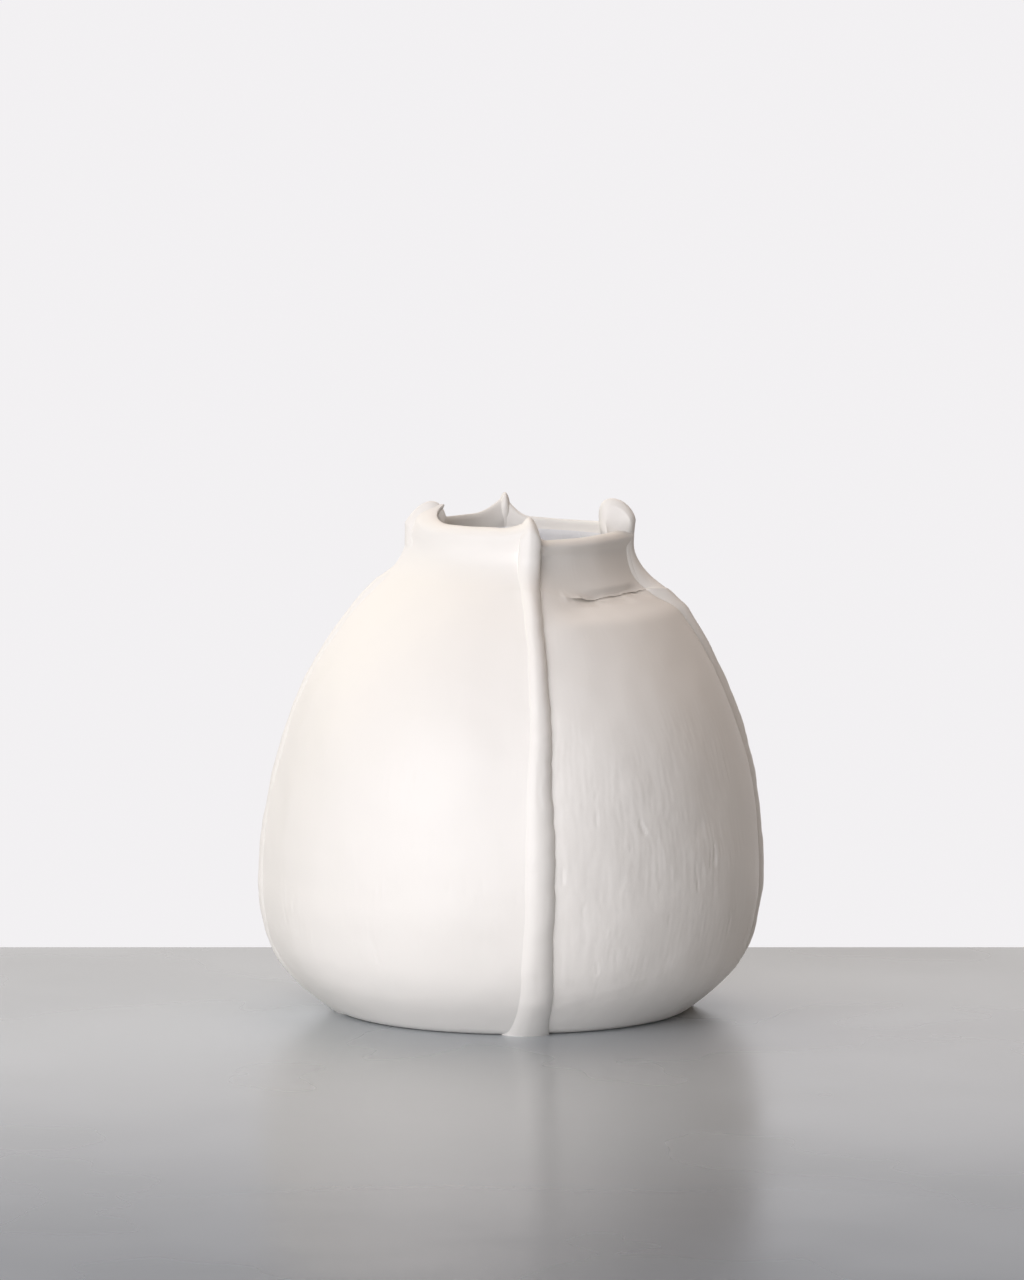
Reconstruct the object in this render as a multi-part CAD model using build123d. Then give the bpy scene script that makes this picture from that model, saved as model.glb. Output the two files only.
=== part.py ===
"""Pillow vase: clay wall and collar panels joined by pinched seam strips.

Millimetres, +Z up. The origin is the centre of the foot, on the table. The four
seams lie on the X and Y axes and the four panels fill the quarters between them.
"""

from build123d import *
import math
import os

# Body: two half ellipses that meet at the belly, cut off by the table and the collar
belly_radius = 96.5
belly_height = 52.0
foot_radius = 67.5
shoulder_radius = 51.0
shoulder_rise = 118.0
wall_thickness = 5.5
foot_rounding = 2.5

# Collar: a cove that draws in from the shoulder joint to a waist and flares to the lip
collar_step = 1.4
cove_rise = 11.0
cove_depth = 10.0
lip_rise = 9.0
lip_flare = 1.5
collar_thickness = 4.5
swoop_radius = 6.0

# Seam strips
strip_width = 8.0
strip_proud = 3.5
strip_rounding = 2.8

# Ears: rise of the top and of the outer shoulder above the rim, reach of the inner tip and of
# the root inwards from the lip, and how far the ear stands out from the collar
ear_rise = {"front": 7.0, "right": 10.5, "back": 9.0, "left": 10.5}
ear_shoulder_rise = {"front": 2.5, "right": 5.5, "back": 3.0, "left": 3.5}
ear_reach = {"front": 6.5, "right": 10.0, "back": 8.5, "left": 11.0}
ear_proud = {"front": 4.0, "right": 5.0, "back": 4.0, "left": 2.5}
ear_root_reach = 11.0
ear_corner_radius = 4.0

# Inside
base_thickness = 6.5
coil_leg = 9.0
glaze_thickness = 0.8
glaze_below_rim = 1.2

# How far cutting shapes run past what they cut
overrun = 5.0

# How far the plan leaves the circle: 0 is round, 1 is four flat sides
joint_flat_share = 0.35
lip_flat_share = 0.55
flat_start_share = 0.4

# Number of steps in each half ellipse of the lofted walls and in the collar's two stretches
wall_steps = 6
cove_steps = 5
flare_steps = 3

# How far the coil of clay is hollowed and the foot's edge rolled
coil_hollow_share = 0.3
foot_roll_share = 0.4

seam_angles = {"right": 0, "back": 90, "left": 180, "front": 270}
panel_angles = {"back_right": 0, "back_left": 90, "front_left": 180, "front_right": 270}

# Sizes that follow from these
mid_share = math.cos(math.radians(45))
collar_joint_height = belly_height + shoulder_rise
waist_height = collar_joint_height + cove_rise
rim_height = waist_height + lip_rise
swoop_top = rim_height + swoop_radius
waist_radius = shoulder_radius - cove_depth
lip_radius = waist_radius + lip_flare
ear_root_radius = lip_radius - ear_root_reach
lower_reach = belly_height / math.sin(math.acos(foot_radius / belly_radius))
upper_reach = shoulder_rise / math.sin(math.acos(shoulder_radius / belly_radius))


def ellipse_angle(height, inset):
    """Angle on the body's half ellipse, inset from its outside, at a height."""
    reach = (lower_reach if height < belly_height else upper_reach) - inset
    return math.degrees(math.asin((height - belly_height) / reach))


def wall_radius(height, inset):
    """Radius of the body at a seam, inset from its outside."""
    angle = math.radians(ellipse_angle(height, inset))
    return (belly_radius - inset) * math.cos(angle)


def wall_heights(inset):
    """Heights of the wall sections, closer together where the wall leans."""
    low = math.radians(ellipse_angle(0, inset))
    high = math.radians(ellipse_angle(collar_joint_height, inset))
    shares = [step / wall_steps for step in range(wall_steps + 1)]
    below = [belly_height + (lower_reach - inset) * math.sin(low * (1 - share)) for share in shares]
    above = [belly_height + (upper_reach - inset) * math.sin(high * share) for share in shares]
    return below + above[1:]


def collar_heights():
    """Heights of the collar sections, up to the top of the swoops beside the ears."""
    cove = waist_height - collar_joint_height
    flare = rim_height - waist_height
    lower = [collar_joint_height + cove * step / cove_steps for step in range(cove_steps + 1)]
    upper = [waist_height + flare * (step + 1) / flare_steps for step in range(flare_steps)]
    return lower + upper + [swoop_top, swoop_top + overrun]


def collar_radius(height, foot, inset):
    """Radius of the collar at a seam, inset from its outside, on a foot of a given radius."""
    waist = waist_radius - inset
    lip = lip_radius - inset
    if height < waist_height:
        share = (waist_height - height) / (waist_height - collar_joint_height)
        return waist + (foot - waist) * share**2
    share = min(1, (height - waist_height) / (rim_height - waist_height))
    return waist + (lip - waist) * (1 - math.cos(math.pi * share)) / 2


def flatness(height):
    """How far the plan is from round at a height."""
    start = belly_height + (collar_joint_height - belly_height) * flat_start_share
    if height <= start:
        return 0
    if height <= collar_joint_height:
        share = (height - start) / (collar_joint_height - start)
        return joint_flat_share * share**2
    share = min(1, (height - collar_joint_height) / (rim_height - collar_joint_height))
    return joint_flat_share + (lip_flat_share - joint_flat_share) * share


def plan(height, radius):
    """Level section of the vase: four arcs that meet on the seams."""
    mid = radius * (1 - flatness(height) * (1 - mid_share))
    arcs = []
    for turn in (0, 90, 180, 270):
        start = Vector(radius, 0, height).rotate(Axis.Z, turn)
        crown = Vector(mid, 0, height).rotate(Axis.Z, turn + 45)
        end = Vector(radius, 0, height).rotate(Axis.Z, turn + 90)
        arcs.append(ThreePointArc(start, crown, end))
    return make_face(arcs)


def wall_body(inset):
    """Body up to the collar joint, solid, inset from its outside."""
    return loft([plan(z, wall_radius(z, inset)) for z in wall_heights(inset)])


def collar_body(foot, inset):
    """Collar from its joint to above the rim, solid, inset from its outside."""
    return loft([plan(z, collar_radius(z, foot, inset)) for z in collar_heights()])


def foot_tool():
    """Ring that rolls the lower edge of the walls under."""
    start = foot_radius - foot_rounding
    wall = wall_radius(foot_rounding, 0)
    belly = (foot_radius + foot_rounding * foot_roll_share, foot_rounding * foot_roll_share)
    roll = ThreePointArc((start, 0), belly, (wall, foot_rounding))
    rest = Polyline(
        (wall, foot_rounding),
        (wall + overrun, foot_rounding),
        (wall + overrun, -overrun),
        (start, -overrun),
        (start, 0),
    )
    face = Plane.XZ * make_face([roll, *rest.edges()])
    return revolve(face, Axis.Z)


def level_block(bottom, top):
    """Block wider than the vase between two heights."""
    side = 2 * (belly_radius + strip_proud + overrun)
    block = Box(side, side, top - bottom, align=(Align.CENTER, Align.CENTER, Align.MIN))
    return Pos(0, 0, bottom) * block


def quarter_block():
    """Block that holds the quarter between the right and the back seam strip."""
    side = belly_radius + strip_proud + overrun
    block = Box(side, side, swoop_top + overrun, align=(Align.MIN, Align.MIN, Align.MIN))
    return Pos(strip_width / 2, strip_width / 2, 0) * block


def swoop_prism():
    """Space above the rim that leaves a hollow swoop beside the back seam strip."""
    start = strip_width / 2
    end = start + swoop_radius
    bend = swoop_radius * (1 - mid_share)
    top = swoop_top + 2 * overrun
    hollow = ThreePointArc((start, swoop_top), (start + bend, rim_height + bend), (end, rim_height))
    rest = Polyline(
        (end, rim_height),
        (belly_radius, rim_height),
        (belly_radius, top),
        (start - overrun, top),
        (start - overrun, swoop_top),
        (start, swoop_top),
    )
    face = Plane.XZ * make_face([hollow, *rest.edges()])
    return extrude(face, belly_radius, dir=(0, 1, 0))


def rim_tool():
    """Space above the rim of one quarter, with a swoop up to the strip at each end."""
    along = swoop_prism()
    across = mirror(along, about=Plane((0, 0, 0), z_dir=(1, -1, 0)))
    return along & across


def ear_plate(seam):
    """Ear of the strip on the right: a plate round four corners, with its edges rolled over."""
    inner = ear_root_radius + ear_corner_radius
    outer = lip_radius + ear_proud[seam] - ear_corner_radius
    tip = lip_radius - ear_reach[seam] + ear_corner_radius
    top_height = rim_height + ear_rise[seam] - ear_corner_radius
    shoulder_height = rim_height + ear_shoulder_rise[seam] - ear_corner_radius
    centers = [(inner, waist_height), (outer, waist_height), (outer, shoulder_height), (tip, top_height)]
    corners = [CenterArc(center, ear_corner_radius, 0, 360) for center in centers]
    plate = extrude(Plane.XZ * make_hull(corners), strip_width / 2, both=True)
    sides = plate.faces().sort_by(Axis.Y)
    return fillet(sides[0].edges() + sides[-1].edges(), strip_rounding)


def strip_blank(seam):
    """Seam strip on the right with its ear, still solid towards the middle of the vase."""
    inset = -strip_proud
    radius = belly_radius - inset
    center = (0, belly_height)
    step_height = collar_joint_height - collar_step
    foot_angle = ellipse_angle(0, inset)
    shoulder_angle = ellipse_angle(step_height, inset)
    lower = EllipticalCenterArc(center, radius, lower_reach - inset, foot_angle, arc_size=-foot_angle)
    upper = EllipticalCenterArc(center, radius, upper_reach - inset, 0, arc_size=shoulder_angle)
    waist = (waist_radius + ear_proud[seam], waist_height)
    crest = Spline(upper @ 1, waist, tangents=[upper % 1, Vector(0, 1)])
    joint = (wall_radius(collar_joint_height, wall_thickness), collar_joint_height)
    inner_waist = (waist_radius - collar_thickness, waist_height)
    close = Polyline(waist, inner_waist, joint, (inner_waist[0], 0), lower @ 0)
    face = Plane.XZ * make_face([lower, upper, crest, *close.edges()])
    blank = extrude(face, strip_width / 2, both=True)
    curved = blank.edges().filter_by(GeomType.LINE, reverse=True)
    return fillet(curved, strip_rounding) + ear_plate(seam)


def coil_body(leg):
    """Ring of clay in the corner of floor and wall, running on into the wall."""
    corner = wall_radius(base_thickness, wall_thickness)
    top = base_thickness + leg
    wall = wall_radius(top, wall_thickness)
    hollow = Vector(corner - leg * coil_hollow_share, base_thickness + leg * coil_hollow_share)
    curve = ThreePointArc((corner - leg, base_thickness), hollow, (wall, top))
    rest = Polyline((wall, top), (wall + overrun, top), (wall + overrun, base_thickness), (corner - leg, base_thickness))
    face = Plane.XZ * make_face([curve, *rest.edges()])
    return revolve(face, Axis.Z)


def liner(wall_space, collar_space, coil, strips):
    """Coat of glaze over the floor, the coil and the inside of the walls and the collar."""
    inset = wall_thickness + glaze_thickness
    joint_radius = wall_radius(collar_joint_height, inset)
    floor = base_thickness + glaze_thickness
    top = rim_height - glaze_below_rim
    wall_hollow = wall_body(inset) & level_block(floor, collar_joint_height)
    wall_hollow -= coil_body(coil_leg + 2 * glaze_thickness)
    wall_coat = (wall_space & level_block(base_thickness, collar_joint_height)) - coil - wall_hollow
    collar_coat = collar_space - collar_body(joint_radius, collar_thickness + glaze_thickness)
    collar_coat &= level_block(collar_joint_height, top)
    for strip in strips:
        collar_coat -= strip
    return wall_coat + collar_coat


def build():
    """All pieces of the vase by name."""
    wall_space = wall_body(wall_thickness)
    collar_space = collar_body(wall_radius(collar_joint_height, wall_thickness), collar_thickness)
    wall_panel = (wall_body(0) & quarter_block()) - wall_space - foot_tool()
    collar = collar_body(wall_radius(collar_joint_height, 0) - collar_step, 0)
    collar_panel = (collar & quarter_block()) - collar_space - rim_tool()
    pieces = {}
    for place, angle in panel_angles.items():
        pieces["wall_panel_" + place] = Rot(0, 0, angle) * wall_panel
        pieces["collar_panel_" + place] = Rot(0, 0, angle) * collar_panel
    strips = []
    for seam, angle in seam_angles.items():
        strip = Rot(0, 0, angle) * (strip_blank(seam) - wall_space)
        strips.append(strip)
        pieces["seam_strip_" + seam] = strip
    coil = coil_body(coil_leg) & wall_space
    pieces["base_slab"] = wall_space & level_block(0, base_thickness)
    pieces["base_coil"] = coil
    pieces["glaze_liner"] = liner(wall_space, collar_space, coil, strips)
    return pieces


os.makedirs("parts", exist_ok=True)
for name, piece in build().items():
    piece.label = name
    export_step(piece, "parts/" + name + ".step")
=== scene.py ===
"""Pillow vase: the looks of a hand-built clay vase, laid out as an add-on.

Each wall panel, collar panel, seam strip and the coat of glaze is a closed mesh grown by a
node tree from named sizes. One shared hand shaping moves all of them alike, so that their
joints stay closed. Metres, +Z up, the foot's centre at the origin, the front seam on -Y.
"""

import math

import bpy
from bpy.props import FloatProperty, FloatVectorProperty, IntProperty, PointerProperty
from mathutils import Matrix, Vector


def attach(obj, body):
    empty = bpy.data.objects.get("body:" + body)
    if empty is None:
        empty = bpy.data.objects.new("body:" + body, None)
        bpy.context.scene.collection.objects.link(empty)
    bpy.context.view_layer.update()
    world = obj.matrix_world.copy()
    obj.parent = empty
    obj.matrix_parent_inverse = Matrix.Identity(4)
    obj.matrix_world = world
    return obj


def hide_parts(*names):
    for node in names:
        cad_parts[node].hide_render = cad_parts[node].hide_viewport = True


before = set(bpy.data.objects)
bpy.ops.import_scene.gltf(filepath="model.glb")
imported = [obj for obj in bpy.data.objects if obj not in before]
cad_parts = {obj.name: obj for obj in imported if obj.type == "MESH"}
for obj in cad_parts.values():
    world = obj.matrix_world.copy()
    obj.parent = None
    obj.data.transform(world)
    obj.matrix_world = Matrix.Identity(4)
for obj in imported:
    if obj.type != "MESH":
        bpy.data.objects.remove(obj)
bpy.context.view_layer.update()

bl_info = {
    "name": "Pillow vase",
    "version": (1, 0, 0),
    "blender": (4, 5, 0),
    "location": "View3D > Sidebar > Vase",
    "description": "Grows the clay panels, seams and glaze of a hand-built pillow vase",
    "category": "Add Mesh",
}

QUARTER = math.pi / 2
CROWN = 1 - math.cos(math.pi / 4)
MIDDLE = (0.5, 0.5, 0.5)

# Swings of each noise to the metre
SWINGS = {"push": 13.0, "dents": 42.0, "ragged": 105.0, "wave": 34.0, "stir": 60.0, "upright": 500.0,
          "level": 330.0, "scratch": 230.0, "lumps": 95.0, "patch": 28.0, "torn": 150.0, "uneven": 75.0,
          "stray": 26.0, "blotch": 38.0, "streak": 620.0, "grain": 2600.0, "specks": 900.0, "pool": 55.0,
          "gloss": 120.0, "ripple": 160.0, "cloud": 45.0, "grog": 1100.0, "tooth": 1500.0,
          "floor cloud": 6.0, "floor tooth": 300.0}

# Heights between which a shaping or a kind of stroke comes in, or goes out
ZONES = {"free": (0.0, 0.03), "foot lean": (0.005, 0.045), "full": (0.0, 0.016), "full end": (0.016, 0.042),
         "level": (0.012, 0.034), "scratch": (0.01, 0.03), "scratch end": (0.09, 0.13),
         "calm": (0.095, 0.15), "narrow": (0.06, 0.17), "beside": (0.08, 0.15)}

# Where the shoulder is pressed in. start, end: distances from a panel's two strips over which the
# press comes in; below, above: its height under and over the collar joint; collar: its share there.
# In front on the right the joint is ragged over side, and it sags over across and ahead, within sag
# of its height.
PRESSED = {"start": (0.012, 0.026), "end": (0.002, 0.012), "side": (0.03, 0.07), "across": (-0.002, 0.022),
           "ahead": (-0.014, 0.0), "sag": 0.015, "below": 0.0038, "above": 0.0034, "collar": 0.8}

# Depth of each kind of stroke, and of all of them on the collar, as a share of a panel's stroke depth
STROKE_SHARES = {"upright": 1.9, "level": 2.6, "lumps": 2.3, "scratch": 1.2, "collar": 0.8}

# How the strokes are drawn out, up the wall and round the foot, and how far they wander
UPRIGHT_STRETCH = 0.18
LEVEL_STRETCH = (0.3, 0.3, 1)
STIR_REACH = (0.004, 0.004, 0.006)

# Share of the way from the inside of a piece to its outside over which the strokes come in
OUTER_PART = (0.7, 1.0)

# Lip: how far below its top it is full, rounded and glazed, the share of its thickness about which
# it is rounded, and the share of its flare on the inside
LIP = {"full": 0.002, "round": 0.0044, "glazed": 0.0075, "pivot": 0.25, "inside": 0.4}

# Ear: how far its edges are rounded off along it and down, the run of its cove on the inside and how
# much less it is on the outside, and how much thinner the ear is than its strip. Ears and lips change
# from low under the rim to high over it.
EAR = {"round": 0.0022, "drop": 0.0028, "cove": 0.020, "less": 0.0075, "thinner": 0.58,
       "low": 0.004, "high": 0.010}

# Width of a strip: by the foot, how much less by the shoulder, and how much more, over a run of height,
# where it meets the table
SPREAD = {"foot": 1.25, "less": 0.52, "more": 0.35, "run": 0.005}

SHARP_ANGLE = math.radians(36)
MERGE_DISTANCE = 0.000002

# Soft lights: colour, width and height, the turn from the camera's side towards the right and the
# lift, both in degrees, and the distance
LIGHTS = {
    "window": {"color": (0.985, 0.97, 1.0), "sides": (1.9, 1.1), "turn": -27, "lift": 17, "away": 1.7},
    "side": {"color": (1.0, 0.95, 0.80), "sides": (1.2, 1.2), "turn": -130, "lift": 36, "away": 1.5},
    "top": {"color": (1.0, 0.85, 0.75), "sides": (1.4, 1.4), "turn": 165, "lift": 66, "away": 1.6},
    "bounce": {"color": (1.0, 0.68, 0.44), "sides": (0.6, 0.6), "turn": 105, "lift": 24, "away": 1.2},
}

# Camera: the focal length and the image's height in pixels, its place and its pitch, then the turn of
# the view about the vase, the height that the lights aim at, and how far the floor goes
FOCAL_PIXELS = 8261
IMAGE_PIXELS = 1280
SENSOR = 24.0
CAMERA_AWAY = 3.2
CAMERA_HEIGHT = 0.510
CAMERA_LEFT = 0.0002
CAMERA_PITCH = 0.1136
VIEW_TURN = math.radians(-7)
AIM_HEIGHT = 0.09
FLOOR_REACH = 3
FLOOR_BEHIND = 0.157

# Each panel: the turn to its first seam, then how it meets the strips at its start and end.
# rim_lift: height of its lip over the common rim; lip_run: height over which the lip flares out;
# swoops: rise and run of the lip beside each strip; folds: how far the lip's two corners lean in;
# lifts: clay drawn up against each strip on the wall, and its run; neck_lifts: the same on the
# collar; cove_run: height of the hollow of the neck; stroke_depth: that of the brush relief;
# crease_depth: that of the pressed line under the collar; step: how far the collar's foot is set in
# from the shoulder.
PANELS = {
    "back_right": {
        "turn": 0, "rim_lift": 0.0, "lip_run": 0.008,
        "swoops": (-0.0030, 0.010, 0.0066, 0.010), "folds": (0.0, 0.0),
        "lifts": (0.0006, 0.0006, 0.0035), "neck_lifts": (0.0015, 0.0015, 0.006),
        "cove_run": 0.012, "stroke_depth": 0.00013, "crease_depth": 0.0007, "step": 0.0010,
    },
    "back_left": {
        "turn": 1, "rim_lift": 0.0015, "lip_run": 0.009,
        "swoops": (0.0056, 0.015, 0.0060, 0.016), "folds": (0.0, 0.011),
        "lifts": (0.0008, 0.0004, 0.0035), "neck_lifts": (0.0015, 0.0015, 0.006),
        "cove_run": 0.013, "stroke_depth": 0.00012, "crease_depth": 0.0006, "step": 0.0008,
    },
    "front_left": {
        "turn": 2, "rim_lift": 0.002, "lip_run": 0.015,
        "swoops": (0.0066, 0.021, 0.0034, 0.013), "folds": (0.0120, 0.0),
        "lifts": (0.0024, 0.0027, 0.010), "neck_lifts": (0.0026, 0.0028, 0.010),
        "cove_run": 0.017, "stroke_depth": 0.00009, "crease_depth": 0.0, "step": 0.0,
    },
    "front_right": {
        "turn": 3, "rim_lift": -0.0025, "lip_run": 0.0065,
        "swoops": (0.0070, 0.007, 0.0005, 0.005), "folds": (0.0, 0.0),
        "lifts": (-0.0010, 0.0004, 0.0045), "neck_lifts": (0.0, 0.0022, 0.006),
        "cove_run": 0.012, "stroke_depth": 0.00013, "crease_depth": 0.0042, "step": 0.0,
    },
}

# Each strip: the turn to its seam, then the radii of the ear's root, tip, outer handle and outer edge,
# and the rises of the inner and the outer handle over the rim, which draw its outline. bend: how far
# the ear's inner part is pushed round; set_back: the same for the fin under the ear; shift: how far
# the strip lies beside its seam; taper: how far it runs out by the foot; swell: how far it stands out
# under the collar; widths and soft: half width of its two flanks and how softly they run out.
EARS = {
    "right": {
        "turn": 0, "radii": (0.0320, 0.0318, 0.0440, 0.0458), "rises": (0.0142, 0.0100),
        "bend": 0.0030, "set_back": 0.0040, "shift": 0.0, "taper": 0.4, "swell": 0.0038,
        "widths": (0.0068, 0.0046), "soft": (1.6, 1.3),
    },
    "back": {
        "turn": 1, "radii": (0.0362, 0.0372, 0.0430, 0.0462), "rises": (0.0132, 0.0085),
        "bend": 0.0, "set_back": 0.0, "shift": 0.0, "taper": 0.4, "swell": 0.0,
        "widths": (0.0045, 0.0044), "soft": (1.3, 1.0),
    },
    "left": {
        "turn": 2, "radii": (0.0278, 0.0305, 0.0392, 0.0440), "rises": (0.0146, 0.0090),
        "bend": 0.0, "set_back": 0.0, "shift": 0.0, "taper": 0.5, "swell": 0.0,
        "widths": (0.0045, 0.0060), "soft": (1.1, 2.2),
    },
    "front": {
        "turn": 3, "radii": (0.0340, 0.0358, 0.0430, 0.0466), "rises": (0.0092, 0.0080),
        "bend": 0.0, "set_back": 0.0, "shift": -0.0028, "taper": 0.1, "swell": 0.0,
        "widths": (0.0058, 0.0056), "soft": (2.0, 1.1),
    },
}

# Inputs of the trees that an entry with more than one number fills; the others fill the input of
# their own name
INPUTS = {
    "swoops": ("Start swoop rise", "Start swoop run", "End swoop rise", "End swoop run"),
    "folds": ("Start fold", "End fold"),
    "lifts": ("Start lift", "End lift", "Lift run"),
    "neck_lifts": ("Start neck lift", "End neck lift", "Neck lift run"),
    "radii": ("Root radius", "Tip radius", "Handle radius", "Outer radius"),
    "rises": ("Inner rise", "Outer rise"),
    "widths": ("First width", "Second width"),
    "soft": ("First flank", "Second flank"),
}
WALL_ENTRIES = ("lifts", "stroke_depth", "crease_depth")


class Wire:
    """A socket of a node tree. Arithmetic on it adds Math nodes."""

    def __init__(self, graph, socket):
        self.graph = graph
        self.socket = socket

    def __add__(self, other):
        return self.graph.math("ADD", self, other)

    __radd__ = __add__

    def __sub__(self, other):
        return self.graph.math("SUBTRACT", self, other)

    def __rsub__(self, other):
        return self.graph.math("SUBTRACT", other, self)

    def __mul__(self, other):
        return self.graph.math("MULTIPLY", self, other)

    __rmul__ = __mul__

    def __truediv__(self, other):
        return self.graph.math("DIVIDE", self, other)

    def __rtruediv__(self, other):
        return self.graph.math("DIVIDE", other, self)

    def __pow__(self, other):
        return self.graph.math("POWER", self, other)

    def __neg__(self):
        return self.graph.math("MULTIPLY", self, -1)


class Graph:
    """Adds the nodes of one tree."""

    def __init__(self, tree):
        self.tree = tree
        tree.nodes.clear()

    def add(self, kind, settings=None, sockets=None, output=0):
        """One node of a type, with its settings made first, then its sockets; gives an output."""
        node = self.tree.nodes.new(kind)
        for name, value in (settings or {}).items():
            setattr(node, name, value)
        for key, value in (sockets or {}).items():
            if isinstance(value, Wire):
                self.tree.links.new(value.socket, node.inputs[key])
            else:
                node.inputs[key].default_value = value
        return Wire(self, node.outputs[output]) if node.outputs else None

    def math(self, operation, *values):
        return self.add("ShaderNodeMath", {"operation": operation}, dict(enumerate(values)))

    def vector(self, operation, *values):
        return self.add("ShaderNodeVectorMath", {"operation": operation}, dict(enumerate(values)))

    def smooth(self, value, start, end, kind="SMOOTHSTEP"):
        """0 before start, 1 after end, and an even swing between."""
        sockets = {"Value": value, "From Min": start, "From Max": end}
        return self.add("ShaderNodeMapRange", {"interpolation_type": kind}, sockets)

    def ramp(self, value, start, end):
        """0 before start, 1 after end, and a straight line between."""
        return self.smooth(value, start, end, "LINEAR")

    def parts(self, vector):
        node = self.add("ShaderNodeSeparateXYZ", None, {0: vector}).socket.node
        return [Wire(self, socket) for socket in node.outputs]

    def point(self, x, y, z):
        return self.add("ShaderNodeCombineXYZ", None, {0: x, 1: y, 2: z})

    def noise(self, spot, scale, detail=2.0, output="Fac"):
        sockets = {"Vector": spot, "Scale": scale, "Detail": detail, "Roughness": 0.5}
        return self.add("ShaderNodeTexNoise", {"noise_dimensions": "3D"}, sockets, output)

    def blend(self, share, first, second):
        """Colour between two colours."""
        sockets = {0: share, 6: first, 7: second}
        return self.add("ShaderNodeMix", {"data_type": "RGBA"}, sockets, 2)


def sizes_of(group):
    """Values of a property group, by the names that its properties show."""
    return {group.bl_rna.properties[key].name: getattr(group, key) for key in group.__annotations__}


def body_sizes():
    """Sizes that all the trees share, by the names of their inputs."""
    scene = bpy.context.scene
    body = scene.vase_body
    collar = scene.vase_collar
    joint = body.belly_height + body.shoulder_rise
    waist = joint + collar.cove_rise
    low = math.sqrt(1 - (body.foot_radius / body.belly_radius) ** 2)
    high = math.sqrt(1 - (body.shoulder_radius / body.belly_radius) ** 2)
    return {
        "Belly radius": body.belly_radius,
        "Belly height": body.belly_height,
        "Lower reach": body.belly_height / low,
        "Upper reach": body.shoulder_rise / high,
        "Lower angle": math.asin(low),
        "Upper angle": math.asin(high),
        "Wall thickness": body.wall_thickness,
        "Foot rounding": body.foot_rounding,
        "Joint height": joint,
        "Waist height": waist,
        "Rim height": waist + collar.lip_rise,
        "Shoulder radius": body.shoulder_radius,
        "Waist radius": collar.waist_radius,
        "Lip flare": collar.lip_flare,
        "Collar thickness": collar.thickness,
        "Joint flatness": body.joint_flatness,
        "Lip flatness": collar.lip_flatness,
        "Panel gap": scene.vase_seams.gap / 2,
        **sizes_of(scene.vase_hand),
    }


def row_sizes(row, entries):
    """Sizes of one piece: the shared ones, its turn, and these entries of its row."""
    values = body_sizes()
    values["Turn"] = row["turn"] * QUARTER
    for entry in entries:
        if entry in INPUTS:
            values.update(zip(INPUTS[entry], row[entry]))
        else:
            values[entry.replace("_", " ").capitalize()] = row[entry]
    return values


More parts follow.
